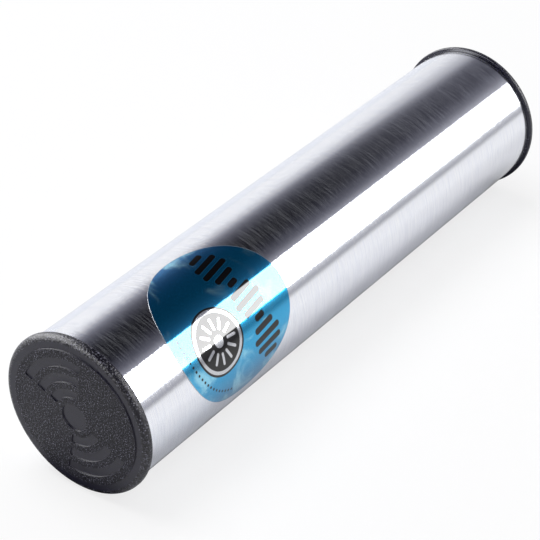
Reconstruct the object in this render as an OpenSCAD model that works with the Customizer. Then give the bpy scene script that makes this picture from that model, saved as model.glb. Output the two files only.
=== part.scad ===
// Tube shaker: an aluminium tube, two push-in end caps, a round film label and loose shot.
// It lies on its side. The origin is the middle of the tube's axis, +X runs along the tube
// to the right cap, and +Z is up. The label faces up and to the front, at the left end.
// All sizes are in millimetres and all angles in degrees.

/* [Tube] */
// Outside diameter of the tube
tube_diameter = 50.8; // [42:0.1:62]
// Wall of the tube
tube_wall = 1.6; // [1:0.1:2.4]
// Length of the tube from cut end to cut end
tube_length = 217.3; // [170:0.1:300]
// Bevel that takes the sharp edge off the tube's cut ends
tube_bevel = 0.3; // [0.1:0.05:0.45]

/* [End caps] */
// How far the cap's rim stands out past the tube all round
rim_overhang = 1.25; // [0.6:0.05:3]
// Thickness of the cap's flange
flange_thickness = 2.7; // [2.5:0.05:4]
// Radius of the rounded front corner of the rim
rim_round = 1.9; // [1:0.05:2]
// Radius of the small round on the rim's back edge
rim_back_round = 0.35; // [0.1:0.05:0.4]
// Width of the flat ring between the rounded corner and the raised field
ring_width = 2.15; // [1:0.05:4]
// Depth of the relief: the stippled field stands this far proud of the flat ring, and the
// smooth pad and bars are sunk in it as deep
field_depth = 0.4; // [0.2:0.05:0.8]
// Radius of the smooth round pad that is sunk in the middle of the field
pad_radius = 4.5; // [2:0.25:5]
// Number of smooth curved bars sunk in the field on each side of the pad
bar_count = 3; // [1:1:3]
// Width of one curved bar
bar_width = 2.9; // [1:0.1:3]
// Gap between two curved bars, and between the first and the pad
bar_gap = 2.2; // [1:0.1:2.6]
// Angle that a curved bar spans about the cap's axis
bar_span = 76; // [20:1:120]
// Turn of the bars about the cap's axis
bar_turn = 28; // [0:1:180]
// Length of the skirt that is pushed into the tube
skirt_length = 14; // [13:0.5:20]
// Wall of the skirt
skirt_wall = 1.8; // [1.2:0.1:2.4]
// Clearance between the skirt and the tube, on the radius
skirt_clearance = 0.2; // [0.1:0.05:0.3]
// Bevel that leads the skirt into the tube
skirt_lead_in = 0.8; // [0.4:0.1:1]
// Fillet inside the cap, between its floor and its skirt
cup_fillet = 1.2; // [0.6:0.1:1.6]
// Number of grip ribs round the skirt
rib_count = 3; // [1:1:3]
// Radius of a grip rib's half-round crest
rib_round = 0.7; // [0.5:0.05:0.9]
// Distance from one grip rib to the next
rib_pitch = 3.6; // [2.4:0.1:3.7]
// How far a grip rib bites past the bore of the tube
rib_bite = 0.05; // [0.02:0.01:0.1]

/* [Label] */
// Diameter of the label as it was cut flat
label_diameter = 52.6; // [30:0.1:64]
// Thickness of the label's film
label_film = 0.12; // [0.08:0.01:0.2]
// Thickness of the adhesive under the film
label_adhesive = 0.03; // [0.02:0.01:0.05]
// Distance from the tube's left end to the middle of the label
label_from_end = 45.9; // [34:0.1:80]
// Turn of the label's middle from the top of the tube towards the front
label_turn = 51; // [0:1:90]

/* [Shot] */
// Diameter of one steel ball
shot_diameter = 4; // [2.5:0.1:4.5]
// Gap that is kept between the rows of shot and round them
shot_clearance = 0.3; // [0.25:0.05:0.5]
// Gap between two balls of one row
shot_spacing = 0.2; // [0.1:0.05:0.4]
// Balls in each row that lies on the wall of the tube
low_row_balls = 8; // [4:1:12]
// Balls in each row of the middle layer
middle_row_balls = 7; // [3:1:12]
// Balls in each row on top of the heap
top_row_balls = 6; // [2:1:12]

/* [Hidden] */
// Rows of shot in each layer of the heap, from the wall of the tube upwards
layer_rows = [9, 6, 2];

// Each row as its layer and its place in the layer
ROWS = [
    for (layer = [0 : len(layer_rows) - 1])
        for (place = [0 : layer_rows[layer] - 1])
            [layer, place]
];

function two_digits(number) = str(number < 10 ? "0" : "", number);
function row_name(index) = str("shot_row_", two_digits(index + 1));

// Sides of a round surface
$fn = 96;
// Overrun of every cut past the surface it opens
overrun = 1;

// The tube
tube_radius = tube_diameter / 2;
bore_radius = tube_radius - tube_wall;
tube_end = tube_length / 2;

// The caps
rim_radius = tube_radius + rim_overhang;
field_radius = rim_radius - rim_round - ring_width;
skirt_radius = bore_radius - skirt_clearance;
cup_radius = skirt_radius - skirt_wall;
rib_middle = bore_radius + rib_bite - rib_round;

// The label
label_steps = 40;
label_edges = 4;
label_last_angle = 88;
film_inner_radius = tube_radius + label_adhesive;
film_outer_radius = film_inner_radius + label_film;
label_middle = label_from_end - tube_end;
degrees_per_radian = 180 / PI;

// The shot
layer_balls = [low_row_balls, middle_row_balls, top_row_balls];
shot_pitch = shot_diameter + shot_clearance;
ball_pitch = shot_diameter + shot_spacing;
// A row lies this share of a ball's pitch to the left or the right of the middle, by turns
stagger_share = 0.25;

// Radius of the circle round the tube's axis that a layer's rows lie on
function layer_radius(layer) =
    bore_radius - shot_clearance - shot_diameter / 2 - layer * shot_pitch;

// Angle between two rows of a layer, at which they are one pitch apart
function layer_step(layer) = 2 * asin(shot_pitch / 2 / layer_radius(layer));

// Turn of a row from the bottom of the tube
function row_turn(row) = (row[1] - (layer_rows[row[0]] - 1) / 2) * layer_step(row[0]);

// How far a row lies to the right of the middle, or to the left of it if below zero
function row_shift(row) = (row[1] % 2 == 0 ? 1 : -1) * stagger_share * ball_pitch;

// Aluminium tube, open at both ends, with its cut edges bevelled
module tube() {
    color("silver")
        rotate([0, 90, 0])
            rotate_extrude()
                polygon([
                    [bore_radius + tube_bevel, -tube_end],
                    [tube_radius - tube_bevel, -tube_end],
                    [tube_radius, tube_bevel - tube_end],
                    [tube_radius, tube_end - tube_bevel],
                    [tube_radius - tube_bevel, tube_end],
                    [bore_radius + tube_bevel, tube_end],
                    [bore_radius, tube_end - tube_bevel],
                    [bore_radius, tube_bevel - tube_end]
                ]);
}

// What lies between a square corner at the origin and the round that replaces it. A cut
// runs past the corner by the overrun, and a fillet fills it with no overrun.
module corner_web(radius, past) {
    difference() {
        translate([-radius, -radius])
            square([radius + past, radius + past]);
        translate([-radius, -radius])
            circle(radius);
    }
}

// Section of the flange, from the axis out to the rounded rim, with the raised field
module flange_section() {
    square([field_radius, flange_thickness + field_depth]);
    difference() {
        square([rim_radius, flange_thickness]);
        translate([rim_radius, flange_thickness])
            corner_web(rim_round, overrun);
        translate([rim_radius, 0])
            mirror([0, 1])
                corner_web(rim_back_round, overrun);
    }
}

// Section of the skirt, with its lead-in bevel, its grip ribs and the fillet at its root
module skirt_section() {
    polygon([
        [cup_radius, 0],
        [cup_radius, -skirt_length],
        [skirt_radius - skirt_lead_in, -skirt_length],
        [skirt_radius, skirt_lead_in - skirt_length],
        [skirt_radius, 0]
    ]);
    for (rib = [1 : rib_count])
        translate([rib_middle, -rib * rib_pitch])
            circle(rib_round);
    translate([cup_radius, 0])
        corner_web(cup_fillet, 0);
}

// Cut for one curved bar with square ends, down to the level of the flat ring
module bar_cut(number) {
    outer_radius = pad_radius + number * (bar_gap + bar_width);
    rotate_extrude(angle = bar_span, start = -bar_span / 2)
        translate([outer_radius - bar_width, 0])
            square([bar_width, field_depth + overrun]);
}

// Cuts for the smooth pad and the curved bars on both sides of it
module motif_cuts() {
    translate([0, 0, flange_thickness]) {
        cylinder(h = field_depth + overrun, r = pad_radius);
        for (half_turn = [0, 180])
            for (number = [1 : bar_count])
                rotate([0, 0, bar_turn + half_turn])
                    bar_cut(number);
    }
}

// Push-in end cap, moulded in one piece: side is 1 for the right end and -1 for the left
module end_cap(side) {
    color("dimgray")
        rotate([0, side * 90, 0])
            translate([0, 0, tube_end])
                difference() {
                    rotate_extrude() {
                        flange_section();
                        skirt_section();
                    }
                    motif_cuts();
                }
}

// Half the label's width along the tube at one step round it
function label_half(step) = label_diameter / 2 * cos(label_step_angle(step));

// The steps run from edge to edge as equal turns of the label's own circle
function label_step_angle(step) = label_last_angle * (2 * step / label_steps - 1);

// Turn of one step from the top of the tube towards the front
function label_step_turn(step) =
    label_turn
    + label_diameter / 2 * sin(label_step_angle(step)) / film_inner_radius * degrees_per_radian;

function label_point(step, side, radius) = [
    label_middle + side * label_half(step),
    -radius * sin(label_step_turn(step)),
    radius * cos(label_step_turn(step))
];

// Place of a point in the label's list of points
function label_index(step, edge) = label_edges * step + edge % label_edges;

// Round film label, wrapped on the tube: its edges run from step to step
module label_film() {
    points = [
        for (step = [0 : label_steps])
            for (edge = [[-1, film_inner_radius], [1, film_inner_radius],
                         [1, film_outer_radius], [-1, film_outer_radius]])
                label_point(step, edge[0], edge[1])
    ];
    sides = [
        for (step = [0 : label_steps - 1])
            for (edge = [0 : label_edges - 1])
                [label_index(step, edge), label_index(step, edge + 1),
                 label_index(step + 1, edge + 1), label_index(step + 1, edge)]
    ];
    ends = [
        [for (edge = [label_edges - 1 : -1 : 0]) label_index(0, edge)],
        [for (edge = [0 : label_edges - 1]) label_index(label_steps, edge)]
    ];
    color("deepskyblue")
        polyhedron(points, concat(sides, ends));
}

// One row of loose balls, side by side along the tube
module shot_row(row) {
    balls = layer_balls[row[0]];
    color("lightsteelblue")
        rotate([row_turn(row), 0, 0])
            translate([row_shift(row), 0, -layer_radius(row[0])])
                for (i = [0 : balls - 1])
                    translate([(i - (balls - 1) / 2) * ball_pitch, 0, 0])
                        sphere(shot_diameter / 2);
}

tube();
end_cap(-1);  // left_cap
end_cap(1);  // right_cap
label_film();
for (index = [0 : len(ROWS) - 1])
    shot_row(ROWS[index]);
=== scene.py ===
"""Hand shaker for the studio: brushed tube, moulded end caps, printed film label and loose steel shot."""

import logging
import math
from dataclasses import dataclass, field
from enum import Enum
from typing import Any

import bpy
from mathutils import Matrix, Vector


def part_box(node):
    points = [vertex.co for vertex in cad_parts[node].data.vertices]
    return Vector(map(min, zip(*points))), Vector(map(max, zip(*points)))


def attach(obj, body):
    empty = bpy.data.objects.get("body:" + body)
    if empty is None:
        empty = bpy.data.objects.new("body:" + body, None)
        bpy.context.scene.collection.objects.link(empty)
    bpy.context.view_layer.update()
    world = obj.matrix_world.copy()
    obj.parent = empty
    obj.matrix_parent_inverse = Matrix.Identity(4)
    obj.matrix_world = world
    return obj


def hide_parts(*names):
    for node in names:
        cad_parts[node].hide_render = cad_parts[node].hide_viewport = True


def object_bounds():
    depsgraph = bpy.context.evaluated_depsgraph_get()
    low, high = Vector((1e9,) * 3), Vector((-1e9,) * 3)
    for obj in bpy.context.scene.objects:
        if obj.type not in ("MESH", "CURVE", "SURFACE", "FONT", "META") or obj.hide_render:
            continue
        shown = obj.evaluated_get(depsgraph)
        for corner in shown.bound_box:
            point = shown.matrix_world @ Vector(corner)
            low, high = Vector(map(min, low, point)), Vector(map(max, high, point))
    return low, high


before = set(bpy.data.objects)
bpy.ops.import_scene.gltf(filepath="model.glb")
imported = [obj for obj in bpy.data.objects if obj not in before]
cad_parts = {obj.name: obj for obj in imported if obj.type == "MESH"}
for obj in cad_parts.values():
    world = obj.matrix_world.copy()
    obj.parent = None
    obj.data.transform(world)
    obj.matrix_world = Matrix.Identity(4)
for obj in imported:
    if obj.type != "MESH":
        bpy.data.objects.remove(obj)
CAD_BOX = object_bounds()

MM = 0.001
LOG = logging.getLogger("shaker")
Point = tuple[float, float]
Span = tuple[float, float]
Limits = tuple[float, float, float]
Place = tuple[float, float, float]
Colour = tuple[float, float, float, float]
Tree, Node, Socket = bpy.types.NodeTree, bpy.types.Node, bpy.types.NodeSocket
Mesh, Material, Object = bpy.types.Mesh, bpy.types.Material, bpy.types.Object
WHITE = (1.0, 1.0, 1.0, 1.0)
# Most of a noise texture lies between the first two, and nearly all of it between the others
NOISE_SPAN = (0.3, 0.7)
NOISE_REACH = (0.25, 0.75)


def linear(colour: str) -> Colour:
    """Turns an sRGB hex colour into Blender's linear colour.

    Args:
        colour: the colour as "#RRGGBB".

    Returns:
        Red, green and blue in linear light, and an alpha of 1.
    """
    shares = [int(colour[i:i + 2], 16) / 255 for i in (1, 3, 5)]
    red, green, blue = (s / 12.92 if s <= 0.04045 else ((s + 0.055) / 1.055) ** 2.4 for s in shares)
    return red, green, blue, 1.0


def add_node(tree: Tree, kind: str, inputs: dict[str | int, Any] | None = None, **settings: Any) -> Node:
    """Adds one node, with its settings, its values and the links into it.

    Args:
        tree: the tree that the node goes into.
        kind: Blender's name for the node's type.
        inputs: a value, an output socket or a number in the tree for each input, by the input's
            name or place.
        settings: the node's own settings.

    Returns:
        The new node.
    """
    node = tree.nodes.new(kind)
    for name, value in settings.items():
        setattr(node, name, value)
    for key, value in (inputs or {}).items():
        socket = node.inputs[key] if isinstance(key, int) else next(
            s for s in node.inputs if s.name == key and s.enabled)
        if isinstance(value, Number):
            value = value.socket
        if isinstance(value, Socket):
            tree.links.new(value, socket)
        else:
            socket.default_value = value
    return node


@dataclass(frozen=True)
class Number:
    """A number inside a node tree, so that a formula of math nodes reads as one.

    Attributes:
        socket: the output socket that carries it.
    """

    socket: Socket

    @property
    def tree(self) -> Tree:
        """The tree that the number lives in."""
        return self.socket.id_data

    def math(self, operation: str, *others: "Number | float", clamp: bool = False) -> "Number":
        """Adds one math node.

        Args:
            operation: Blender's name for what the node does.
            others: the node's other inputs.
            clamp: whether the result is kept from 0 to 1.

        Returns:
            The node's result.
        """
        node = add_node(self.tree, "ShaderNodeMath", dict(enumerate((self, *others))), operation=operation,
                        use_clamp=clamp)
        return Number(node.outputs[0])

    def __add__(self, other: "Number | float") -> "Number":
        """Adds."""
        return self.math("ADD", other)

    def __sub__(self, other: "Number | float") -> "Number":
        """Subtracts."""
        return self.math("SUBTRACT", other)

    def __rsub__(self, other: float) -> "Number":
        """Subtracts this number from a plain one."""
        return (self * -1.0).math("ADD", other)

    def __mul__(self, other: "Number | float") -> "Number":
        """Multiplies."""
        return self.math("MULTIPLY", other)

    def __truediv__(self, other: "Number | float") -> "Number":
        """Divides."""
        return self.math("DIVIDE", other)

    def __abs__(self) -> "Number":
        """Drops the sign."""
        return self.math("ABSOLUTE")

    def within(self, low: float, high: float) -> "Number":
        """Keeps the number between two limits."""
        return self.math("MINIMUM", high).math("MAXIMUM", low)

    def ramp(self, first: "Number | float", last: "Number | float", low: "Number | float" = 0.0,
             high: "Number | float" = 1.0, shape: str = "LINEAR") -> "Number":
        """Maps one range to another and clamps the result.

        Args:
            first: the number that gives low.
            last: the number that gives high.
            low: the first result.
            high: the last result.
            shape: Blender's name for the way between them.

        Returns:
            The mapped number.
        """
        node = add_node(self.tree, "ShaderNodeMapRange", {
            "Value": self, "From Min": first, "From Max": last, "To Min": low, "To Max": high},
            interpolation_type=shape)
        return Number(node.outputs[0])

    def blend(self, low: "Number | float", high: "Number | float") -> "Number":
        """Gives low where this number is 0 and high where it is 1."""
        node = add_node(self.tree, "ShaderNodeMix", {"Factor": self, "A": low, "B": high}, data_type="FLOAT")
        return Number(node.outputs[0])

    def between(self, start: float, stop: float, soft: float) -> "Number":
        """Gives 1 between two limits and 0 outside them, with soft ends."""
        return self.ramp(start - soft, start + soft) * self.ramp(stop + soft, stop - soft)

    def tint(self, low: Any, high: Any) -> Socket:
        """Gives one colour where this number is 0 and another where it is 1."""
        return add_node(self.tree, "ShaderNodeMix", {"Factor": self, "A": low, "B": high},
                        data_type="RGBA").outputs[2]


def apart(vector: Socket) -> tuple[Number, Number, Number]:
    """Takes a vector apart into its three numbers."""
    parts = add_node(vector.id_data, "ShaderNodeSeparateXYZ", {0: vector}).outputs
    return Number(parts[0]), Number(parts[1]), Number(parts[2])


def together(first: Number, *others: Number | float) -> Socket:
    """Joins up to three numbers into a vector."""
    return add_node(first.tree, "ShaderNodeCombineXYZ", dict(enumerate((first, *others)))).outputs[0]


def length(vector: Socket) -> Number:
    """Measures a vector."""
    node = add_node(vector.id_data, "ShaderNodeVectorMath", {0: vector}, operation="LENGTH")
    return Number(node.outputs["Value"])


def vector_math(operation: str, *vectors: Any, **inputs: Any) -> Socket:
    """Adds one vector math node to the first vector's tree and gives the vector that results."""
    return add_node(vectors[0].id_data, "ShaderNodeVectorMath", dict(enumerate(vectors)) | inputs,
                    operation=operation).outputs[0]


def noise(place: Socket, size: float, detail: float = 2.0, rough: float = 0.5, warp: float = 0.0) -> Number:
    """Adds a noise texture.

    Args:
        place: the coordinates that it is laid on.
        size: width of one lump, in the unit of the coordinates.
        detail: how many times finer lumps are added.
        rough: how strong the finer lumps are.
        warp: how much the noise warps itself.

    Returns:
        The noise, around 0.5.
    """
    node = add_node(place.id_data, "ShaderNodeTexNoise", {
        "Vector": place, "Scale": 1 / size, "Detail": detail, "Roughness": rough, "Distortion": warp})
    return Number(node.outputs[0])


def bump(height: Number, depth: float, normal: Socket | None = None) -> Socket:
    """Turns a height into a relief.

    Args:
        height: the height, from 0 to 1.
        depth: the depth of the relief in metres.
        normal: the normal that it starts from, if not the surface's own.

    Returns:
        The normal of the relief.
    """
    inputs = {"Height": height, "Strength": 1.0, "Distance": depth}
    if normal is not None:
        inputs["Normal"] = normal
    return add_node(height.tree, "ShaderNodeBump", inputs).outputs[0]


def object_place(tree: Tree) -> Socket:
    """Gives the place on the object in metres, which moves with it."""
    return add_node(tree, "ShaderNodeTexCoord").outputs["Object"]


def new_material(name: str) -> tuple[Material, Tree]:
    """Makes an empty node material.

    Args:
        name: the material's name.

    Returns:
        The material and its node tree, with no nodes in it.
    """
    material = bpy.data.materials.new(name)
    material.use_nodes = True
    material.node_tree.nodes.clear()
    return material, material.node_tree


def streaks(tree: Tree, along: float, around: float, detail: float, rough: float = 0.5) -> Number:
    """Adds a noise texture on Object coordinates whose lumps are drawn out into lines.

    Args:
        tree: the tree that it goes into.
        along: length of one lump along the tube.
        around: its length in the other directions.
        detail: how many times finer lumps are added.
        rough: how strong the finer lumps are.

    Returns:
        The noise, around 0.5.
    """
    place = add_node(tree, "ShaderNodeMapping", {
        "Vector": object_place(tree), "Scale": (1 / along, 1 / around, 1 / around)}).outputs[0]
    return noise(place, 1.0, detail, rough)


def show(tree: Tree, inputs: dict[str, Any]) -> None:
    """Gives a material its Principled shader, with these inputs."""
    shader = add_node(tree, "ShaderNodeBsdfPrincipled", inputs)
    add_node(tree, "ShaderNodeOutputMaterial", {"Surface": shader.outputs[0]})


def round_the_tube(tree: Tree) -> dict[str, Any]:
    """Gives the inputs of a shader whose metal is brushed round the X axis."""
    tangent = add_node(tree, "ShaderNodeTangent", direction_type="RADIAL", axis="X")
    return {"Anisotropic": 1.0, "Anisotropic Rotation": 0.25, "Tangent": tangent.outputs[0]}


def rays(tree: Tree) -> dict[str, Number]:
    """Gives what kind of ray sees a surface, by Blender's name for each kind."""
    return {name: Number(s) for name, s in add_node(tree, "ShaderNodeLightPath").outputs.items()}


def glow(tree: Tree, colour: Colour, strength: float) -> Socket:
    """Adds an emission shader."""
    return add_node(tree, "ShaderNodeEmission", {"Color": colour, "Strength": strength}).outputs[0]


def mixed(share: Number, first: Socket, second: Socket) -> Socket:
    """Mixes two shaders: the first where the share is 0 and the second where it is 1."""
    return add_node(share.tree, "ShaderNodeMixShader", {0: share, 1: first, 2: second}).outputs[0]


def in_scene(name: str, data: bpy.types.ID) -> Object:
    """Puts a new object into the scene.

    Args:
        name: its name.
        data: its mesh, lamp or camera.

    Returns:
        The object, at the origin.
    """
    thing = bpy.data.objects.new(name, data)
    bpy.context.scene.collection.objects.link(thing)
    return thing


def arc(centre: Point, radius: float, first: float, last: float, steps: int) -> list[Point]:
    """Gives the points of a round corner in a profile.

    Args:
        centre: the middle of the arc, as radius and height.
        radius: the arc's radius.
        first: the angle of its first point, in degrees from the radius axis to the height axis.
        last: the angle of its last point.
        steps: how many stretches the arc is cut into.

    Returns:
        The points in order, both ends included.
    """
    angles = [math.radians(first + (last - first) * i / steps) for i in range(steps + 1)]
    return [(centre[0] + radius * math.cos(a), centre[1] + radius * math.sin(a)) for a in angles]


def lathe(name: str, profile: list[tuple[Point, int]], segments: int) -> Mesh:
    """Turns a profile round the Z axis into a closed mesh.

    Args:
        name: the mesh's name.
        profile: each point as radius and height, with the material slot of the band that starts
            there. The list runs anticlockwise round the section, and one that starts on the axis
            ends on it too. Any other is closed into a ring.
        segments: how many stretches the full turn is cut into.

    Returns:
        The mesh, with its faces outwards.
    """
    on_axis = profile[0][0][0] == 0
    points, faces, slots, rings = [], [], [], []
    for (radius, height), _ in profile:
        first = len(points)
        turns = 1 if radius == 0 else segments
        points += [(radius * math.cos(math.tau * i / turns), radius * math.sin(math.tau * i / turns), height)
                   for i in range(turns)]
        rings.append([first + i % turns for i in range(segments + 1)])
    last = len(profile) - (1 if on_axis else 0)
    for number in range(last):
        low, high = rings[number], rings[(number + 1) % len(profile)]
        for i in range(segments):
            corners = [low[i], low[i + 1], high[i + 1], high[i]]
            faces.append(tuple(dict.fromkeys(corners)))
            slots.append(profile[number][1])
    mesh = bpy.data.meshes.new(name)
    mesh.from_pydata(points, [], faces)
    mesh.polygons.foreach_set("material_index", slots)
    return mesh


def with_flat_flats(mesh: Mesh) -> Mesh:
    """Weights a mesh's normals by area, so that its flats stay flat up to their small rounds.

    Args:
        mesh: the mesh, smooth but for its sharp edges.

    Returns:
        A copy with the weighted normals.
    """
    piece = in_scene("weighted", mesh)
    weighted = piece.modifiers.new("weighted", "WEIGHTED_NORMAL")
    weighted.mode, weighted.weight, weighted.keep_sharp = "FACE_AREA", 100, True
    return baked(piece)


def finished(name: str, mesh: Mesh, materials: list[Material], sharp: float = 32.0) -> Object:
    """Makes the object of a finished piece, smooth but for its real edges.

    Args:
        name: the piece's name.
        mesh: its mesh, in place.
        materials: its materials, in the order of the mesh's slots.
        sharp: the angle in degrees past which an edge stays sharp.

    Returns:
        The object, at the origin.
    """
    # Clearing the slots also forgets which one each face uses
    slots = [0] * len(mesh.polygons)
    mesh.polygons.foreach_get("material_index", slots)
    mesh.materials.clear()
    for material in materials:
        mesh.materials.append(material)
    mesh.polygons.foreach_set("material_index", slots)
    mesh.polygons.foreach_set("use_smooth", [True] * len(mesh.polygons))
    mesh.set_sharp_from_angle(angle=math.radians(sharp))
    mesh.update()
    return in_scene(name, with_flat_flats(mesh))


def baked(piece: Object) -> Mesh:
    """Turns a piece's modifiers into plain mesh and takes the piece away.

    Args:
        piece: an object with its modifiers set.

    Returns:
        The evaluated mesh.
    """
    bpy.context.view_layer.update()
    mesh = bpy.data.meshes.new_from_object(piece.evaluated_get(bpy.context.evaluated_depsgraph_get()))
    piece.modifiers.clear()
    bpy.data.objects.remove(piece)
    return mesh


def run_tree(name: str, tree: Tree, values: dict[str, Any]) -> Mesh:
    """Runs a Geometry Nodes tree once.

    Args:
        name: the name of what it makes.
        tree: the tree, with named inputs.
        values: a value for each input, by its name.

    Returns:
        The mesh that the tree makes.
    """
    piece = in_scene(name, bpy.data.meshes.new(name))
    modifier = piece.modifiers.new(name, "NODES")
    modifier.node_group = tree
    for socket in tree.interface.items_tree:
        if socket.item_type == "SOCKET" and socket.in_out == "INPUT" and socket.name in values:
            modifier[socket.identifier] = values[socket.name]
    return baked(piece)


def new_tree(name: str, sockets: dict[str, str]) -> tuple[Tree, Node]:
    """Starts a Geometry Nodes tree with its named inputs and one geometry output.

    Args:
        name: the tree's name.
        sockets: each input's name and the kind of its socket.

    Returns:
        The tree and its input node.
    """
    tree = bpy.data.node_groups.new(name, "GeometryNodeTree")
    for label, kind in sockets.items():
        tree.interface.new_socket(name=label, in_out="INPUT", socket_type="NodeSocket" + kind)
    tree.interface.new_socket(name="Geometry", in_out="OUTPUT", socket_type="NodeSocketGeometry")
    return tree, add_node(tree, "NodeGroupInput")


def end_tree(tree: Tree, geometry: Socket, material: Socket) -> None:
    """Ends a Geometry Nodes tree: makes its instances real, dresses them and hands them over.

    Args:
        tree: the tree.
        geometry: what it made.
        material: the material for all of it.
    """
    real = add_node(tree, "GeometryNodeRealizeInstances", {"Geometry": geometry})
    dressed = add_node(tree, "GeometryNodeSetMaterial", {"Geometry": real.outputs[0], "Material": material})
    add_node(tree, "NodeGroupOutput", {0: dressed.outputs[0]})


class End(Enum):
    """The two ends of the tube, each with the sign of its direction along X."""

    LEFT = -1
    RIGHT = 1


class Mould(Enum):
    """How a stretch of the cap's mould was finished, as a material slot of the cap."""

    SATIN = 0
    STIPPLED = 1
    GRAINED = 2


@dataclass(frozen=True)
class BrushedAluminium:
    """Drawn aluminium tube, brushed while it turned on a lathe.

    The brush lines run round the tube, so a light stretches along the tube into a band whose
    long edges stay sharp. Each line leans a little to one side, which frays those edges.

    Attributes:
        colour: reflectance of clean aluminium.
        worn: its reflectance in the deeper lines, a little cooler.
        roughness: least and most spread of the light along the tube.
        line_width: width of one brush line. Real ones are under 0.1 mm, drawn coarser to show.
        line_length: how far a line runs round the tube before it fades into another.
        lean: how far a line leans round the tube, as a slope.
        deep: the noise at which a line is deepest, and past which its floor is bright.
        haze: share of the light that a line's rough floor scatters all round, where it is deepest.
        scratch_width: width of the broader scratches, which run twice as far.
        scratched: share of the scratches in the relief.
        depth: depth of the relief.
    """

    colour: str = "#F4F5F7"
    worn: str = "#EBEEF8"
    roughness: Span = (0.07, 0.13)
    line_width: float = 0.17 * MM
    line_length: float = 7 * MM
    lean: float = 0.015
    deep: Span = (0.34, 0.54)
    haze: float = 0.095
    scratch_width: float = 0.8 * MM
    scratched: float = 0.1
    depth: float = 0.0008 * MM

    def material(self) -> Material:
        """Builds the material, on Object coordinates.

        Returns:
            The material.
        """
        material, tree = new_material("aluminium_lathe_brushed")
        fine = streaks(tree, self.line_width, self.line_length, detail=2.0, rough=0.6)
        scratches = streaks(tree, self.scratch_width, 2 * self.line_length, detail=2.0, rough=0.6)
        both = fine * (1.0 - self.scratched) + scratches * self.scratched
        # The fine lines' lean turns the normal about the tube's axis by a little, to either side
        surface = add_node(tree, "ShaderNodeNewGeometry").outputs["Normal"]
        side = vector_math("CROSS_PRODUCT", surface, (1.0, 0.0, 0.0))
        offset = vector_math("SCALE", side, Scale=fine.ramp(*NOISE_REACH, -self.lean, self.lean))
        leaning = vector_math("NORMALIZE", vector_math("ADD", surface, offset))
        show(tree, round_the_tube(tree) | {
            "Base Color": both.ramp(*NOISE_SPAN).tint(linear(self.worn), linear(self.colour)),
            "Metallic": fine.ramp(*self.deep, 1.0 - self.haze, 1.0),
            "Roughness": both.ramp(*NOISE_SPAN, *self.roughness), "Normal": bump(both, self.depth, leaning)})
        return material


@dataclass(frozen=True)
class MillAluminium:
    """Inside and cut ends of the tube, as drawn and sawn: dull, with faint lines along the tube.

    Attributes:
        colour: reflectance of aluminium under its thin oxide.
        roughness: its least and most roughness.
        line_width: width of a draw line.
        line_length: length of a draw line.
        depth: depth of the lines.
    """

    colour: str = "#DADCDF"
    roughness: Span = (0.35, 0.55)
    line_width: float = 0.5 * MM
    line_length: float = 60 * MM
    depth: float = 0.01 * MM

    def material(self) -> Material:
        """Builds the material, on Object coordinates.

        Returns:
            The material.
        """
        material, tree = new_material("aluminium_mill_finish")
        lines = streaks(tree, self.line_length, self.line_width, detail=3.0)
        show(tree, {
            "Base Color": linear(self.colour), "Metallic": 1.0, "Roughness": lines.ramp(0.0, 1.0, *self.roughness),
            "Normal": bump(lines, self.depth)})
        return material


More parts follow.
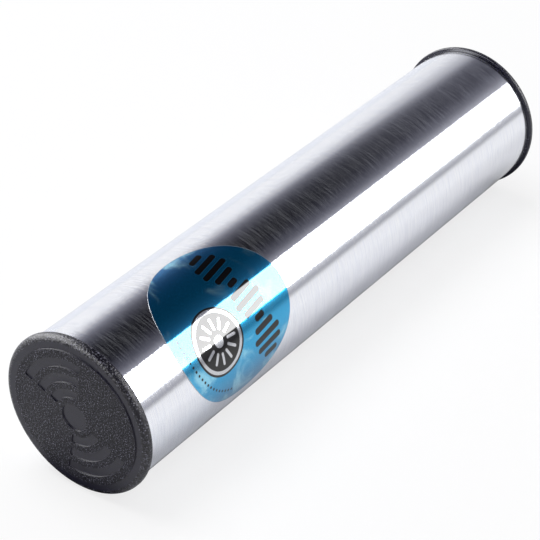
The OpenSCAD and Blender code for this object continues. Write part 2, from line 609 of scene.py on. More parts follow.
@dataclass(frozen=True)
class MouldedPlastic:
    """Black polyethylene end cap, injection moulded.

    The mould is satin on the flat ring and in the sunk shapes, stippled on the field, which makes
    it sparkle, and etched with a leather-like grain on the rim, which breaks its highlights up.
    On the stipple and the grain the sparkle is partly painted: their crests get a pale colour, a
    painted highlight, over a darker black.

    Attributes:
        mould: the finish of the mould here.
        colour: the plastic's own black.
        crest: painted highlight on the crests of the stipple and the grain, a pale colour that stands
            in for their glints.
        pit: the darker black of the stipple and the grain where they are low, in their pits, under
            that painted highlight.
        painted_glint_height: the texture's height where the painted highlight starts, and where it is full.
        roughness: its least and most roughness.
        flow: width of a patch over which the gloss drifts.
        shine: strength of the shine.
        stippled_shine: the same on the stipple, whose grains shade one another.
        satin: width and depth of the marks in the satin mould.
        stipple: width and depth of one grain of the stipple, drawn a little coarser than real.
        grain: width and depth of one cell of the leather grain.
        pebbled: share of the cells in the grain, the rest being plain noise.
    """

    mould: Mould
    colour: str = "#1B1A29"
    crest: str = "#8A8A9A"
    pit: str = "#0F0E18"
    painted_glint_height: Span = (0.56, 0.78)
    roughness: Span = (0.23, 0.31)
    flow: float = 9 * MM
    shine: float = 0.5
    stippled_shine: float = 0.24
    satin: Span = (0.15 * MM, 0.004 * MM)
    stipple: Span = (0.42 * MM, 0.16 * MM)
    grain: Span = (0.5 * MM, 0.3 * MM)
    pebbled: float = 0.3

    def relief(self, place: Socket) -> tuple[Number, float]:
        """Builds the height of the mould's texture.

        Args:
            place: the Object coordinates.

        Returns:
            The height, from 0 to 1, and the depth of the texture in metres.
        """
        if self.mould is not Mould.GRAINED:
            width, depth = self.satin if self.mould is Mould.SATIN else self.stipple
            return noise(place, width, 1.0), depth
        width, depth = self.grain
        cells = add_node(place.id_data, "ShaderNodeTexVoronoi", {
            "Vector": place, "Scale": 1 / width, "Randomness": 1.0}, feature="SMOOTH_F1")
        pebbles = 1.0 - Number(cells.outputs["Distance"])
        return noise(place, width) * (1.0 - self.pebbled) + pebbles * self.pebbled, depth

    def material(self) -> Material:
        """Builds the material, on Object coordinates.

        Returns:
            The material.
        """
        material, tree = new_material(f"polyethylene_moulded_{self.mould.name.lower()}")
        place = object_place(tree)
        height, depth = self.relief(place)
        # Flow of the melt and handling: the gloss drifts a little over the face
        drift = noise(place, self.flow, 3.0)
        # Painted highlight: on the stipple and the grain, the crests get the pale crest colour, for glints
        low, high = (self.colour, self.colour) if self.mould is Mould.SATIN else (self.pit, self.crest)
        shine = self.stippled_shine if self.mould is Mould.STIPPLED else self.shine
        show(tree, {
            "Base Color": height.ramp(*self.painted_glint_height).tint(linear(low), linear(high)), "IOR": 1.51,
            "Specular IOR Level": shine, "Roughness": drift.ramp(*NOISE_SPAN, *self.roughness),
            "Normal": bump(height, depth)})
        return material


@dataclass(frozen=True)
class Rosette:
    """Round dark badge in the label's print, with a pale ring and a rosette of beads and rays.

    Attributes:
        middle: its place on the flat label, in millimetres along and round the tube.
        radius: outer radius of its dark disc.
        ring: outer and inner radius of its pale ring.
        bead: radius of the bead in its middle.
        rays: number of rays.
        ray: where a ray starts and ends, from the middle.
        ray_width: width of a ray.
        turn: turn of the rays, in degrees.
    """

    middle: Point = (-8.6, 4.0)
    radius: float = 10.6
    ring: Span = (9.9, 8.8)
    bead: float = 1.9
    rays: int = 12
    ray: Span = (3.9, 6.9)
    ray_width: float = 0.95
    turn: float = 7.0


@dataclass(frozen=True)
class WaveBars:
    """Row of bold bars in the label's print, whose lengths swell and fall like a wave.

    Attributes:
        middle: the middle of the row, in millimetres along and round the tube.
        pitch: distance from bar to bar, round the tube.
        width: width of one bar.
        each_side: number of bars on each side of the middle one.
        shortest: half the length of the shortest bar.
        swell: how much half a bar's length grows at the wave's crest.
        beat: turn of the wave from bar to bar, in radians.
        turn: turn of the row, in degrees.
    """

    middle: Point = (9.6, -1.0)
    pitch: float = 3.3
    width: float = 2.05
    each_side: int = 6
    shortest: float = 0.9
    swell: float = 4.4
    beat: float = 0.74
    turn: float = -9.0


@dataclass(frozen=True)
class DotRow:
    """Row of small dots in the label's print, along its edge.

    Attributes:
        radius: distance of the dots from the label's middle.
        step: distance from dot to dot.
        dot: radius of one dot.
        middle_angle: where the row's middle lies, in degrees from the tube's direction.
        each_side: number of dots on each side of the middle one.
    """

    radius: float = 22.6
    step: float = 1.75
    dot: float = 0.42
    middle_angle: float = 148.0
    each_side: int = 9


@dataclass(frozen=True)
class PrintedFilm:
    """Clear polyester film, printed on its back with transparent blue and opaque black ink.

    The blue lets the metal behind shine through, so it flashes with the metal and darkens in its
    shade. The black ink hides the metal. The film's face is smooth and glossy, so lights stay
    crisp in it. The ink stops just short of the cut edge, which shows as a thin light line.

    Attributes:
        diameter: the label's diameter in millimetres, for the scale of its flat coordinates.
        high: the blue over metal at the label's upper side.
        mid: the blue from its middle down.
        low: the blue at its lower tip.
        cloud: the lighter blue of the clouds.
        black: the black ink.
        bare: the metal behind clear film.
        high_to_mid: where the first blue turns into the second, in millimetres down from the middle.
        mid_to_low: where the second turns into the third.
        cloud_size: width of one cloud, in millimetres.
        cloud_edge: the noise at which a cloud starts, and at which it is full.
        cloud_lean: how much the clouds gain for each millimetre down.
        cloud_tip: where they start to gain and stop gaining towards the upper tip, and by how much.
        cloud_middle: middle of the gap between the clouds, in millimetres down.
        cloud_gap: how far above and below that middle the clouds start, and are full.
        cloud_share: their strength inside that gap and past it.
        shine: share of the light that the blue ink lets through to the metal.
        bare_shine: the same of the clear film inside the badge.
        margin_shine: the same of the clear margin, whose cut edge is dull.
        roughness: spread of the light in the metal behind.
        gloss: roughness of the film's own face.
        ripple_width: width of the ripples where the film isn't laid quite flat, in millimetres.
        ripple_depth: their depth.
        soft: softness of a printed edge, in millimetres.
        margin: width of the clear margin, in millimetres.
        rosette: the badge in the print.
        bars: the row of bars in the print.
        dots: the row of dots in the print.
    """

    diameter: float
    high: str = "#106EA8"
    mid: str = "#10A2D6"
    low: str = "#0584B4"
    cloud: str = "#ACE8FA"
    black: str = "#0B0B0D"
    bare: str = "#C9CBD0"
    high_to_mid: Span = (-20.0, 8.0)
    mid_to_low: Span = (12.0, 25.0)
    cloud_size: float = 10.5
    cloud_edge: Span = (0.52, 0.7)
    cloud_lean: float = 0.003
    cloud_tip: Limits = (-16.0, -25.0, 0.16)
    cloud_middle: float = -0.5
    cloud_gap: Span = (4.5, 9.0)
    cloud_share: Span = (0.06, 0.66)
    shine: float = 0.89
    bare_shine: float = 0.97
    margin_shine: float = 0.45
    roughness: float = 0.16
    gloss: float = 0.02
    ripple_width: float = 4.5
    ripple_depth: float = 0.01 * MM
    soft: float = 0.07
    margin: float = 0.09
    rosette: Rosette = field(default_factory=Rosette)
    bars: WaveBars = field(default_factory=WaveBars)
    dots: DotRow = field(default_factory=DotRow)

    def inside(self, distance: Number, edge: float) -> Number:
        """Gives 1 where a distance is under an edge and 0 past it, with the print's soft edge."""
        return distance.ramp(edge + self.soft, edge - self.soft)

    def moved(self, flat: Socket, middle: Point, turn: float) -> Socket:
        """Lays coordinates from a motif's middle, turned with it.

        Args:
            flat: the place on the flat label, in millimetres.
            middle: the motif's middle there.
            turn: the motif's turn in degrees.

        Returns:
            The place as the motif sees it.
        """
        return add_node(flat.id_data, "ShaderNodeMapping", {
            "Vector": flat, "Location": (*middle, 0.0), "Rotation": (0.0, 0.0, math.radians(turn))},
            vector_type="TEXTURE").outputs[0]

    def rosette_masks(self, flat: Socket) -> list[Number]:
        """Draws the rosette.

        Args:
            flat: the place on the flat label, in millimetres.

        Returns:
            The masks of the dark disc, its pale ring and its pale bead and rays.
        """
        rosette = self.rosette
        local = self.moved(flat, rosette.middle, rosette.turn)
        radius = length(local)
        along, across, _ = apart(local)
        step = math.tau / rosette.rays
        angle = across.math("ARCTAN2", along)
        off_ray = angle - (angle / step).math("ROUND") * step
        out, beside = radius * off_ray.math("COSINE"), radius * off_ray.math("SINE")
        past = out - out.within(*rosette.ray)
        ray = length(together(past, beside)) - rosette.ray_width / 2
        pale = ray.math("MINIMUM", radius - rosette.bead)
        ring = self.inside(radius, rosette.ring[0]) - self.inside(radius, rosette.ring[1])
        return [self.inside(radius, rosette.radius), ring, self.inside(pale, 0.0)]

    def bar_mask(self, flat: Socket) -> Number:
        """Draws the row of bars: the nearest bar's number gives its length.

        Args:
            flat: the place on the flat label, in millimetres.

        Returns:
            The bars' mask.
        """
        row = self.bars
        along, across, _ = apart(self.moved(flat, row.middle, row.turn))
        number = (across / row.pitch).math("ROUND").within(-row.each_side, row.each_side)
        half = abs((number * row.beat).math("COSINE")) * row.swell + row.shortest
        past = (abs(along) - half).math("MAXIMUM", 0.0)
        gap = together(past, across - number * row.pitch)
        return self.inside(length(gap), row.width / 2)

    def dot_mask(self, flat: Socket) -> Number:
        """Draws the row of dots along the edge.

        Args:
            flat: the place on the flat label, in millimetres.

        Returns:
            The dots' mask.
        """
        row = self.dots
        local = self.moved(flat, (0.0, 0.0), row.middle_angle)
        along, across, _ = apart(local)
        way = across.math("ARCTAN2", along) * row.radius
        number = (way / row.step).math("ROUND").within(-row.each_side, row.each_side)
        gap = together(way - number * row.step, length(local) - row.radius)
        return self.inside(length(gap), row.dot)

    def material(self) -> Material:
        """Builds the material, on the label's own flat coordinates.

        Returns:
            The material.
        """
        material, tree = new_material("polyester_film_printed")
        uv = add_node(tree, "ShaderNodeUVMap", uv_map=FilmLabel.uv_name).outputs[0]
        size = self.diameter
        flat = vector_math("MULTIPLY_ADD", uv, (size, size, 0.0), (-size / 2, -size / 2, 0.0))
        down = apart(flat)[1]
        sky = down.ramp(*self.high_to_mid).tint(linear(self.high), linear(self.mid))
        sky = down.ramp(*self.mid_to_low).tint(sky, linear(self.low))
        # Clouds are thicker towards both tips of the label and thin across its middle
        tip_start, tip_end, gain = self.cloud_tip
        cloud = noise(flat, self.cloud_size, detail=4.0, rough=0.55, warp=0.8) + down * self.cloud_lean
        cloud = cloud + down.ramp(tip_start, tip_end, 0.0, gain)
        thick = abs(down - self.cloud_middle).ramp(*self.cloud_gap, *self.cloud_share)
        colour = (cloud.ramp(*self.cloud_edge, 0.0, 1.0, "SMOOTHSTEP") * thick).tint(sky, linear(self.cloud))
        disc, ring, shapes = self.rosette_masks(flat)
        metal = self.shine
        for mask, ink in ((self.bar_mask(flat), self.black), (self.dot_mask(flat), self.black),
                          (disc, self.black), (ring, self.bare), (shapes, self.bare)):
            colour = mask.tint(colour, linear(ink))
            metal = mask.blend(metal, 0.0 if ink == self.black else self.bare_shine)
        inked = self.inside(length(flat), size / 2 - self.margin)
        ripple = noise(flat, self.ripple_width, 1.0)
        show(tree, round_the_tube(tree) | {
            "Base Color": inked.tint(linear(self.bare), colour), "Metallic": inked.blend(self.margin_shine, metal),
            "Roughness": self.roughness, "Specular IOR Level": 0.0, "Coat Weight": 1.0, "Coat IOR": 1.5,
            "Coat Roughness": self.gloss, "Normal": bump(ripple, self.ripple_depth)})
        return material


@dataclass(frozen=True)
class TumbledSteel:
    """Steel balls, hardened and tumbled: bright, with a soft gloss and fine dents.

    Attributes:
        colour: reflectance of the steel.
        roughness: its least and most roughness.
        dent: width and depth of a dent from tumbling.
    """

    colour: str = "#C4C6CA"
    roughness: Span = (0.15, 0.35)
    dent: Span = (0.4 * MM, 0.003 * MM)

    def material(self) -> Material:
        """Builds the material, on Object coordinates.

        Returns:
            The material.
        """
        material, tree = new_material("steel_tumbled")
        width, depth = self.dent
        dents = noise(object_place(tree), width)
        show(tree, {
            "Base Color": linear(self.colour), "Metallic": 1.0, "Roughness": dents.ramp(0.0, 1.0, *self.roughness),
            "Normal": bump(dents, depth)})
        return material


@dataclass
class BrushedTube:
    """The aluminium tube, open at both ends under the caps.

    Attributes:
        wall: thickness of its wall.
        bevel: bevel on its cut edges.
        bands: stretches that the outer face is cut into along the tube, which keeps them well shaped.
        segments: stretches that the full turn is cut into.
    """

    wall: float = 1.6 * MM
    bevel: float = 0.3 * MM
    bands: int = 54
    segments: int = 256

    def build(self) -> Object:
        """Makes the tube, which rides on the shell and stands for the CAD tube.

        Returns:
            The finished piece.
        """
        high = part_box("tube")[1]
        radius, end = high.z, high.x
        bore = radius - self.wall
        brushed, mill = 0, 1
        outer = [((radius, -end + self.bevel + (2 * end - 2 * self.bevel) * i / self.bands), brushed)
                 for i in range(self.bands)]
        profile = outer + [(point, mill) for point in (
            (radius, end - self.bevel), (radius - self.bevel, end), (bore + self.bevel, end), (bore, end - self.bevel),
            (bore, -end + self.bevel), (bore + self.bevel, -end), (radius - self.bevel, -end))]
        mesh = lathe("brushed_tube", profile, self.segments)
        mesh.transform(Matrix.Rotation(math.radians(90), 4, "Y"))
        piece = finished("brushed_tube", mesh, [BrushedAluminium().material(), MillAluminium().material()])
        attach(piece, "shell")
        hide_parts("tube")
        return piece


@dataclass
class EndCap:
    """One moulded push-in cap. It is built with its axis on Z and its flange's back at 0.

    Attributes:
        end: the end of the tube that it closes.
        flange: thickness of the flange.
        rim_round: radius of the rim's front corner.
        back_round: radius of the rim's back edge.
        ring: width of the flat ring.
        depth: height of the field over the ring, and depth of the shapes that are sunk in it.
        edge: radius of the small rounds at the field's step and round the sunk shapes.
        corner: radius of a sunk bar's corners.
        pad: radius of the sunk pad.
        bars: number of sunk bars on each side of the pad.
        bar_width: width of a sunk bar.
        bar_gap: gap between two bars, and between the first and the pad.
        bar_span: angle that a bar spans, in degrees.
        bar_turn: turn of the bars about the cap's axis, in degrees.
        skirt: radius of the skirt.
        skirt_length: length of the skirt.
        skirt_wall: wall of the skirt.
        lead_in: bevel at the skirt's end.
        fillet: fillet between the cap's floor and its skirt.
        ribs: number of grip ribs.
        rib_round: radius of a rib's crest.
        rib_pitch: distance from rib to rib.
        rib_middle: radius of the circle that a rib's crest is centred on.
        segments: stretches that the full turn is cut into.
    """

    end: End
    flange: float = 2.7 * MM
    rim_round: float = 1.9 * MM
    back_round: float = 0.35 * MM
    ring: float = 2.15 * MM
    depth: float = 0.4 * MM
    edge: float = 0.08 * MM
    corner: float = 0.3 * MM
    pad: float = 4.5 * MM
    bars: int = 3
    bar_width: float = 2.9 * MM
    bar_gap: float = 2.2 * MM
    bar_span: float = 76.0
    bar_turn: float = 28.0
    skirt: float = 23.6 * MM
    skirt_length: float = 14 * MM
    skirt_wall: float = 1.8 * MM
    lead_in: float = 0.8 * MM
    fillet: float = 1.2 * MM
    ribs: int = 3
    rib_round: float = 0.7 * MM
    rib_pitch: float = 3.6 * MM
    rib_middle: float = 23.15 * MM
    segments: int = 256

    def section(self, rim: float) -> list[tuple[Point, int]]:
        """Draws the cap's section, anticlockwise from the axis inside the cup.

        Args:
            rim: radius of the rim.

        Returns:
            The profile, each point with the mould's finish of the band that starts there.
        """
        satin, stippled, grained = (m.value for m in Mould)
        # Stretches that each arc is cut into
        fillet_steps, rib_steps, back_steps, front_steps, foot_steps, lip_steps = 6, 6, 5, 14, 4, 5
        cup, field_edge = self.skirt - self.skirt_wall, rim - self.rim_round - self.ring
        face, top = self.flange, self.flange + self.depth
        inside = [(0.0, 0.0)] + arc((cup - self.fillet, -self.fillet), self.fillet, 90, 0, fillet_steps) + [
            (cup, -self.skirt_length), (self.skirt - self.lead_in, -self.skirt_length),
            (self.skirt, self.lead_in - self.skirt_length)]
        # A rib's crest starts and ends where its circle meets the skirt
        reach = math.degrees(math.acos((self.skirt - self.rib_middle) / self.rib_round))
        for rib in range(self.ribs, 0, -1):
            inside += arc((self.rib_middle, -rib * self.rib_pitch), self.rib_round, -reach, reach, rib_steps)
        inside += [(self.skirt, 0.0)]
        back = arc((rim - self.back_round, self.back_round), self.back_round, -90, 0, back_steps)
        front = arc((rim - self.rim_round, face - self.rim_round), self.rim_round, 0, 90, front_steps)
        foot = arc((field_edge + self.edge, face + self.edge), self.edge, -90, -180, foot_steps)
        lip = arc((field_edge - self.edge, top - self.edge), self.edge, 0, 90, lip_steps)
        return ([(p, satin) for p in inside + back[:-1]] + [(p, grained) for p in back[-1:] + front[:-1]]
                + [(p, satin) for p in front[-1:] + foot + lip[:-1]] + [(lip[-1], stippled), ((0.0, top), stippled)])

    def motif_tree(self) -> Tree:
        """Builds the tree that makes the cutters of the sunk pad and bars.

        One grid is placed once for each shape and bent into it. Its first direction runs round
        the outline of a plate with round corners. Its second runs from the middle of the plate's
        underside over the rounded foot and the side, flares out at the field's level and goes on
        to the middle of its top. A bar's plate is then bent round the cap's axis. Shape 0 is the
        pad, a plate that is all corners.

        Returns:
            The tree.
        """
        lengths = dict.fromkeys(("Pad", "Width", "Gap", "Span", "Turn", "Depth", "Edge", "Corner"), "Float")
        tree, given = new_tree("sunk_motif", {"Bars": "Int"} | lengths | {"Material": "Material"})
        bars, pad, width, gap, span, turn, depth, edge, corner = (Number(s) for s in given.outputs[:9])
        # The grid: points round the outline, and its rings by what they end
        around, foot_start, foot_end, side_end, flare_end, last_ring = 201, 1.0, 4.0, 5.0, 9.0, 11
        # The outline as shares of the whole way round: a side, a corner, an end and a corner, twice
        side, corner_one, plate_end, half = 0.26, 0.36, 0.4, 0.5
        points = add_node(tree, "GeometryNodeMeshLine", {"Count": bars * 2.0 + 1.0, "Offset": (0.0, 0.0, 0.0)})
        grid = add_node(tree, "GeometryNodeMeshGrid", {
            "Size X": 1.0, "Size Y": 1.0, "Vertices X": around, "Vertices Y": last_ring + 1})
        placed = add_node(tree, "GeometryNodeInstanceOnPoints", {
            "Points": points.outputs[0], "Instance": grid.outputs[0]})
        numbered = add_node(tree, "GeometryNodeStoreNamedAttribute", {
            "Geometry": placed.outputs[0], "Name": "shape",
            "Value": add_node(tree, "GeometryNodeInputIndex").outputs[0]}, data_type="FLOAT", domain="INSTANCE")
        loose = add_node(tree, "GeometryNodeRealizeInstances", {"Geometry": numbered.outputs[0]})
        shape = Number(add_node(
            tree, "GeometryNodeInputNamedAttribute", {"Name": "shape"}, data_type="FLOAT").outputs[0])
        place = apart(add_node(tree, "GeometryNodeInputPosition").outputs[0])
        way, ring = place[0] + 0.5, place[1] * last_ring + last_ring / 2
        # Which bar this is, counted outwards, and whether it is one of the second half
        is_bar = shape.math("GREATER_THAN", 0.5)
        second = shape.math("GREATER_THAN", bars + 0.5)
        number = shape - second * bars
        middle = pad + number * (width + gap) - width / 2.0
        # The plate, without its corners: half its length and half its width
        round_off = is_bar.blend(pad, corner)
        half_length = is_bar * (middle * span / 2.0 - corner)
        half_width = is_bar * (width / 2.0 - corner)
        lengthwise = way.ramp(0.0, side, -1.0, 1.0) - way.ramp(half, half + side, 0.0, 2.0)
        widthwise = way.ramp(half + corner_one, half + plate_end, 1.0, 3.0) - way.ramp(corner_one, plate_end, 0.0, 2.0)
        facing = (way.ramp(side, corner_one) + way.ramp(plate_end, half)
                  + way.ramp(half + side, half + corner_one) + way.ramp(half + plate_end, 1.0))
        facing = (1.0 - facing) * (math.pi / 2)
        # The section: a rounded foot, the side, the flare, and then past the face
        foot = ring.ramp(foot_start, foot_end, 0.0, math.pi / 2)
        flare = ring.ramp(side_end, flare_end, 0.0, math.pi / 2)
        inset = (1.0 - foot.math("SINE")) * edge
        widened = (1.0 - flare.math("COSINE")) * edge
        shown = ring.math("GREATER_THAN", 0.5) * ring.math("LESS_THAN", last_ring - 0.5)
        out = (round_off - inset + widened) * shown
        lifted = (1.0 - foot.math("COSINE")) * edge + ring.ramp(foot_end, side_end) * (depth - edge * 2.0)
        height = lifted + flare.math("SINE") * edge + ring.math("GREATER_THAN", flare_end + 0.5) * depth
        run = lengthwise * half_length + out * facing.math("COSINE")
        rise = widthwise * half_width * shown + out * facing.math("SINE")
        angle = run / middle + turn + second * math.pi
        bent = (middle + rise) * angle.math("COSINE"), (middle + rise) * angle.math("SINE")
        # Bending mirrors a plate, so the pad is mirrored too and all cutters face the same way
        position = together(is_bar.blend(rise, bent[0]), is_bar.blend(run, bent[1]), height)
        moved = add_node(tree, "GeometryNodeSetPosition", {"Geometry": loose.outputs[0], "Position": position})
        closed = add_node(tree, "GeometryNodeMergeByDistance", {
            "Geometry": moved.outputs[0], "Distance": 0.001 * MM})
        end_tree(tree, closed.outputs[0], given.outputs["Material"])
        return tree

    def build(self, materials: list[Material]) -> Object:
        """Makes the cap, which rides on the shell and stands for its CAD node.

        Args:
            materials: the plastic in each finish of the mould, in the order of Mould.

        Returns:
            The finished piece.
        """
        node = f"{self.end.name.lower()}_cap"
        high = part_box(node)[1]
        tube_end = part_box("tube")[1].x
        name = f"{self.end.name.lower()}_end_cap"
        body = finished(name + "_body", lathe(name, self.section(high.z), self.segments), materials)
        motif_mesh = run_tree("motif", self.motif_tree(), {
            "Pad": self.pad, "Bars": self.bars, "Width": self.bar_width, "Gap": self.bar_gap,
            "Span": math.radians(self.bar_span), "Turn": math.radians(self.bar_turn), "Depth": self.depth,
            "Edge": self.edge, "Corner": self.corner, "Material": materials[Mould.SATIN.value]})
        # The flare ends a hair over the field, so that it crosses the field's plane cleanly
        hair = 0.002 * MM
        motif_mesh.transform(Matrix.Translation((0, 0, self.flange + hair)))
        motif = in_scene("motif", motif_mesh)
        cut = body.modifiers.new("cut", "BOOLEAN")
        cut.operation, cut.solver, cut.object = "DIFFERENCE", "EXACT", motif
        mesh = baked(body)
        bpy.data.objects.remove(motif)
        mesh.transform(Matrix.Translation((self.end.value * tube_end, 0, 0))
                       @ Matrix.Rotation(math.radians(90 * self.end.value), 4, "Y"))
        piece = finished(name, mesh, materials)
        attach(piece, "shell")
        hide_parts(node)
        return piece


@dataclass
class FilmLabel:
    """The round film label, wrapped on the tube.

    Attributes:
        turn: turn of its middle from the top of the tube towards the front, in degrees.
        adhesive: thickness of the adhesive under it.
        film: thickness of the film.
        edge: radius of the round on its cut edge.
        edge_steps: stretches of that round.
        rings: stretches from its middle to its edge.
        segments: stretches round it.
    """

    turn: float = 51.0
    adhesive: float = 0.03 * MM
    film: float = 0.12 * MM
    edge: float = 0.04 * MM
    edge_steps: int = 3
    rings: int = 26
    segments: int = 144
    uv_name = "flat"

    def build(self) -> Object:
        """Makes the label, which rides on the shell and stands for the CAD film.

        Returns:
            The finished piece.
        """
        low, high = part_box("label_film")
        middle, radius = (low.x + high.x) / 2, (high.x - low.x) / 2
        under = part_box("tube")[1].z + self.adhesive
        over = under + self.film
        ways = [(radius - self.edge) * i / self.rings for i in range(self.rings + 1)]
        rim = arc((radius - self.edge, over - self.edge), self.edge, 90, 0, self.edge_steps)
        profile = [(w, over) for w in ways[:-1]] + rim + [(radius, under)] + [(w, under) for w in ways[::-1]]
        mesh = lathe("film_label", [(p, 0) for p in profile], self.segments)
        layer = mesh.uv_layers.new(name=self.uv_name)
        for loop in mesh.loops:
            place = mesh.vertices[loop.vertex_index].co
            layer.data[loop.index].uv = (place.x / radius / 2 + 0.5, place.y / radius / 2 + 0.5)
        for vertex in mesh.vertices:
            along, across, out = vertex.co
            angle = math.radians(self.turn) + across / under
            vertex.co = (middle + along, -out * math.sin(angle), out * math.cos(angle))
        mesh.flip_normals()
        piece = finished("film_label", mesh, [PrintedFilm(2 * radius / MM).material()])
        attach(piece, "shell")
        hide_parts("label_film")
        return piece


@dataclass
class ShotHeap:
    """The loose steel shot: rows of balls that run along the tube.

    Attributes:
        ball: diameter of one ball.
        pitch: distance from ball to ball in a row.
        rounding: subdivisions of a ball.
        sharp: the angle in degrees past which an edge of a ball would stay sharp: none does.
    """

    ball: float = 4 * MM
    pitch: float = 4.2 * MM
    rounding: int = 3
    sharp: float = 80.0

    def row_tree(self) -> Tree:
        """Builds the tree that sets balls in a row.

        Returns:
            The tree.
        """
        tree, given = new_tree("shot_row", {
            "Balls": "Int", "Start": "Vector", "Pitch": "Vector", "Radius": "Float", "Rounding": "Int",
            "Material": "Material"})
        value = given.outputs
        points = add_node(tree, "GeometryNodeMeshLine", {
            "Count": value["Balls"], "Start Location": value["Start"], "Offset": value["Pitch"]})
        ball = add_node(tree, "GeometryNodeMeshIcoSphere", {
            "Radius": value["Radius"], "Subdivisions": value["Rounding"]})
        placed = add_node(tree, "GeometryNodeInstanceOnPoints", {
            "Points": points.outputs[0], "Instance": ball.outputs[0]})
        end_tree(tree, placed.outputs[0], value["Material"])
        return tree

    def build(self) -> list[Object]:
        """Makes one piece for each row, which rides on the row's own body.

        Returns:
            The finished rows.
        """
        tree, steel, rows = self.row_tree(), TumbledSteel().material(), []
        for node in sorted(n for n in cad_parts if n.startswith("shot_row_")):
            low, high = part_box(node)
            balls = round((high.x - low.x - self.ball) / self.pitch) + 1
            middle = (low + high) / 2
            first = middle - Vector(((balls - 1) / 2 * self.pitch, 0, 0))
            name = node.replace("_row", "")
            mesh = run_tree(name, tree, {
                "Balls": balls, "Start": tuple(first), "Pitch": (self.pitch, 0.0, 0.0), "Radius": self.ball / 2,
                "Rounding": self.rounding, "Material": steel})
            piece = finished(name, mesh, [steel], self.sharp)
            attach(piece, node)
            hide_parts(node)
            rows.append(piece)
        return rows


@dataclass(frozen=True)
class LightBand:
    """One stop of the studio's brightness round the tube's direction.

    Attributes:
        angle: direction in degrees from straight up, below zero to the back.
        near: brightness seen past the left end of the view.
        far: brightness seen towards the right cap.
    """

    angle: float
    near: float
    far: float


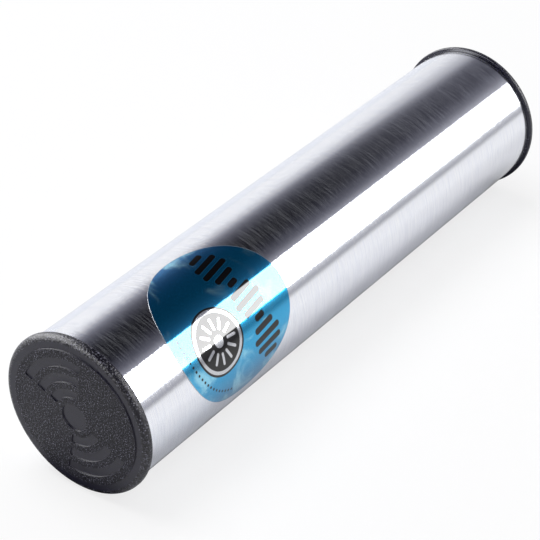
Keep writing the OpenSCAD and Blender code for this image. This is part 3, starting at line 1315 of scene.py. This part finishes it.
@dataclass
class Studio:
    """Pale table and soft studio light: a white sweep behind, a dark ceiling and one long softbox.

    The bands, the wall, the softbox and the panel show in glossy surfaces only. Angles are in
    degrees round the tube's direction, from straight up, below zero to the back. A share is how
    far a direction points along X.

    Attributes:
        level: brightness of the light that falls on matt surfaces.
        bands: the studio's brightness by direction.
        wall: the same of the lit wall at the back, which hides the bands.
        wall_end: upper end of the wall: how fast its angle grows with the share, and its value at zero.
        wall_slope: the shares between which it grows.
        wall_soft: softness of that end.
        far_side: the shares between which the bands go from near to far.
        cool: power that lifts the blue of the bands, more in the darker ones.
        softbox: angles where the softbox starts and ends, and the softness of both.
        softbox_start: the shares between which it comes up.
        softbox_level: brightness of its cloth.
        core: angles where its lamps' light starts and ends, and the softness of both.
        lamps: its two lamps, each with the shares where it starts and ends, and the brightness
            that it adds.
        lamp_soft: softness of a lamp's two ends.
        panel: angles where the lit panel at the back left starts and ends, and the softness of both.
        panel_end: the shares between which it goes out, from dark to lit.
        panel_level: brightness of that panel.
        floor_size: half the width of the floor.
        table: colour of the matt table.
        white: brightness of its glow.
        white_share: share of that glow that the camera sees over the table's own light.
        front: places on Y between which a painted glow on the table, which only glossy surfaces see,
            comes up in front, from dark to lit.
        front_glow_end: places on Y between which that painted glow goes out again, from dark to lit.
        front_glow_share: share of the painted glow there.
        back: places on Y between which glossy surfaces see the table painted as pale as the wall behind it.
        back_glow_share: share of that painted pale glow.
        pale: colour of that painted pale glow.
        painted_dark_edge: place on X left of which glossy surfaces see the table painted dark, and the
            softness of that edge.
        shadow_strip: places on Y where a shadow painted on the table under the tube, which only glossy
            surfaces see, starts and ends, and the softness of both.
        shadow_strip_start: distances before the left cap between which that painted shadow starts.
        dark: brightness of the painted shadow and of the table painted dark.
        lamp_size: width of the lamp that gives the shadow its direction.
        lamp_power: its power in watts.
        lamp_place: its place.
    """

    level: float = 0.55
    bands: tuple[LightBand, ...] = tuple(LightBand(*stop) for stop in (
        (-58, 0.73, 0.80), (-50, 0.41, 0.62), (-43.7, 0.22, 0.46), (-39.6, 0.144, 0.38), (-35.5, 0.09, 0.285),
        (-31.5, 0.057, 0.214), (-27.4, 0.037, 0.16), (-23.3, 0.022, 0.134), (-18, 0.010, 0.115), (-8, 0.004, 0.10),
        (2, 0.004, 0.09), (11, 0.014, 0.11), (23, 0.06, 0.19), (29, 0.115, 0.28), (35, 0.25, 0.42), (40, 0.3, 0.42),
        (78, 0.8, 0.9), (83, 0.60, 0.78), (88, 0.40, 0.46), (92, 0.42, 0.5), (97, 0.85, 0.85)))
    wall: tuple[LightBand, ...] = tuple(LightBand(*stop) for stop in (
        (-95, 0.94, 0.91), (-73, 0.93, 0.81), (-64, 0.88, 0.74), (-57, 0.72, 0.70), (-54, 0.63, 0.64),
        (-48, 0.56, 0.55), (-43, 0.50, 0.50), (-35, 0.44, 0.47)))
    wall_end: Span = (127.0, -135.5)
    wall_slope: Span = (0.6, 0.8)
    wall_soft: float = 0.7
    far_side: Span = (0.725, 0.782)
    cool: float = 0.9
    softbox: Limits = (38.0, 79.0, 1.0)
    softbox_start: Span = (-0.25, 0.1)
    softbox_level: float = 1.2
    core: Limits = (38.8, 78.4, 0.5)
    lamps: tuple[Limits, ...] = ((-0.2, 0.35, 5.0), (0.61, 0.695, 14.0))
    lamp_soft: float = 0.008
    panel: Limits = (-86.0, -38.0, 2.0)
    panel_end: Span = (0.42, 0.32)
    panel_level: float = 6.5
    floor_size: float = 4.0
    table: str = "#DADADC"
    white: float = 1.07
    white_share: float = 0.7
    front: Span = (-0.05, -0.09)
    front_glow_end: Span = (-0.6, -0.3)
    front_glow_share: float = 0.6
    back: Span = (0.04, 0.1)
    back_glow_share: float = 0.75
    pale: Colour = (0.9, 0.92, 0.98, 1.0)
    painted_dark_edge: Span = (-0.2, 0.02)
    shadow_strip: Limits = (-0.014, 0.02, 0.004)
    shadow_strip_start: Span = (0.01, 0.002)
    dark: float = 0.02
    lamp_size: float = 1.2
    lamp_power: float = 21.0
    lamp_place: Place = (-0.1, 0.6, 1.6)

    def build(self) -> None:
        """Makes the floor, the world and the lamp."""
        self.build_floor(CAD_BOX[0].z)
        self.build_world()
        self.build_lamp()
        LOG.info("studio: floor at %.2f mm", CAD_BOX[0].z / MM)

    def build_floor(self, height: float) -> None:
        """Makes the pale floor, which keeps the object's shadow and shows white past it.

        Args:
            height: height of the floor.
        """
        mesh = bpy.data.meshes.new("floor")
        corners = ((-1, -1), (1, -1), (1, 1), (-1, 1))
        mesh.from_pydata([(x * self.floor_size, y * self.floor_size, height) for x, y in corners], [], [(0, 1, 2, 3)])
        floor = in_scene("floor", mesh)
        material, tree = new_material("studio_floor")
        seen = rays(tree)
        glossy = seen["Is Glossy Ray"]
        along, across, _ = apart(object_place(tree))
        matt = add_node(tree, "ShaderNodeBsdfDiffuse", {"Color": linear(self.table)}).outputs[0]
        # Painted light: in mirrors the table in front glows brighter away from the object, but not to its far end
        front = across.ramp(*self.front, 0.0, self.front_glow_share) * across.ramp(*self.front_glow_end) * glossy
        lit = mixed(seen["Is Camera Ray"] * self.white_share + front, matt, glow(tree, WHITE, self.white))
        # Painted light: behind the object the mirrored table glows as pale as the wall
        behind = across.ramp(*self.back, 0.0, self.back_glow_share) * glossy
        lit = mixed(behind, lit, glow(tree, self.pale, 1.0))
        # Painted shade: in mirrors the table is dark left of its edge and in a painted shadow under the tube
        end, soft = self.painted_dark_edge
        left = CAD_BOX[0].x
        under = across.between(*self.shadow_strip) * along.ramp(*(left - away for away in self.shadow_strip_start))
        painted_dark = (along.ramp(end + soft, end - soft) + under) * glossy
        add_node(tree, "ShaderNodeOutputMaterial", {"Surface": mixed(painted_dark, lit, glow(tree, WHITE, self.dark))})
        mesh.materials.append(material)

    def build_world(self) -> None:
        """Makes the world: white to the camera, even to matt surfaces and banded to glossy ones."""
        world = bpy.data.worlds.new("studio")
        world.use_nodes = True
        tree = world.node_tree
        tree.nodes.clear()
        share, back, up = apart(add_node(tree, "ShaderNodeTexCoord").outputs["Generated"])
        angle = (back * -1.0).math("ARCTAN2", up).math("DEGREES")
        far = share.ramp(*self.far_side)
        room, wall = (far.tint(*(self.brightness(angle, bands, side) for side in ("near", "far")))
                      for bands in (self.bands, self.wall))
        slope, start = self.wall_end
        before_end = share.within(*self.wall_slope) * slope + start - angle
        banded = before_end.ramp(-self.wall_soft, self.wall_soft).tint(room, wall)
        lights = angle.between(*self.softbox) * share.ramp(*self.softbox_start) * self.softbox_level
        for start, stop, brightness in self.lamps:
            lamp = angle.between(*self.core) * share.between(start, stop, self.lamp_soft)
            lights = lights + lamp * brightness
        panel = angle.between(*self.panel) * share.ramp(*self.panel_end) * self.panel_level
        glossy = vector_math("ADD", banded, (lights + panel).socket)
        seen = rays(tree)
        plain = seen["Is Glossy Ray"].tint((self.level, self.level, self.level, 1.0), glossy)
        clear = seen["Is Camera Ray"].math("MAXIMUM", seen["Is Transmission Ray"])
        background = add_node(tree, "ShaderNodeBackground", {"Color": clear.tint(plain, WHITE), "Strength": 1.0})
        add_node(tree, "ShaderNodeOutputWorld", {"Surface": background.outputs[0]})
        bpy.context.scene.world = world

    def brightness(self, angle: Number, bands: tuple[LightBand, ...], side: str) -> Socket:
        """Turns bands into a colour by direction.

        Args:
            angle: the direction in degrees.
            bands: the bands.
            side: which of their two values is used.

        Returns:
            The colour.
        """
        ramp = add_node(angle.tree, "ShaderNodeValToRGB", {"Fac": angle.ramp(-180.0, 180.0)})
        stops = ramp.color_ramp.elements
        for band in bands:
            grey = getattr(band, side)
            stops.new((band.angle + 180) / 360).color = (grey, grey, grey ** self.cool, 1.0)
        stops.remove(stops[-1])
        stops.remove(stops[0])
        return ramp.outputs[0]

    def build_lamp(self) -> None:
        """Makes the large soft lamp above the object, which gives the shadow its direction."""
        lamp = bpy.data.lights.new("soft_lamp", "AREA")
        lamp.shape, lamp.size, lamp.energy = "DISK", self.lamp_size, self.lamp_power
        holder = in_scene("soft_lamp", lamp)
        holder.location = self.lamp_place
        holder.rotation_euler = (-holder.location).to_track_quat("-Z", "Y").to_euler()
        holder.visible_glossy = False


@dataclass
class CameraRig:
    """The camera, at the photograph's viewing angle.

    Attributes:
        aim: the point that it looks at.
        distance: its distance from that point.
        azimuth: its direction round the object, in degrees.
        elevation: its height above the horizon, in degrees.
        lens: focal length in millimetres.
        sensor: width of the sensor in millimetres.
    """

    aim: Place = (-16.1 * MM, -0.9 * MM, 0.0)
    distance: float = 616.4 * MM
    azimuth: float = -54.35
    elevation: float = 33.51
    lens: float = 127.7
    sensor: float = 36.0

    def build(self) -> None:
        """Makes the camera and gives it to the scene."""
        data = bpy.data.cameras.new("camera")
        data.lens, data.sensor_width, data.sensor_fit = self.lens, self.sensor, "HORIZONTAL"
        data.clip_start = 0.01
        camera = in_scene("camera", data)
        turn, rise = math.radians(self.azimuth), math.radians(self.elevation)
        back = Vector((math.sin(turn) * math.cos(rise), -math.cos(turn) * math.cos(rise), math.sin(rise)))
        camera.location = Vector(self.aim) + back * self.distance
        camera.rotation_euler = (-back).to_track_quat("-Z", "Y").to_euler()
        bpy.context.scene.camera = camera


def main() -> None:
    """Builds the camera, the studio and every piece."""
    logging.basicConfig(level=logging.INFO, format="%(name)s: %(message)s")
    bpy.context.scene.view_settings.view_transform = "Standard"
    CameraRig().build()
    Studio().build()
    pieces = [BrushedTube().build()]
    plastic = [MouldedPlastic(mould).material() for mould in Mould]
    pieces += [EndCap(end).build(plastic) for end in End]
    pieces += [FilmLabel().build(), *ShotHeap().build()]
    for piece in pieces:
        LOG.info("%s: %d faces", piece.name, len(piece.data.polygons))


if __name__ == "__main__":
    main()
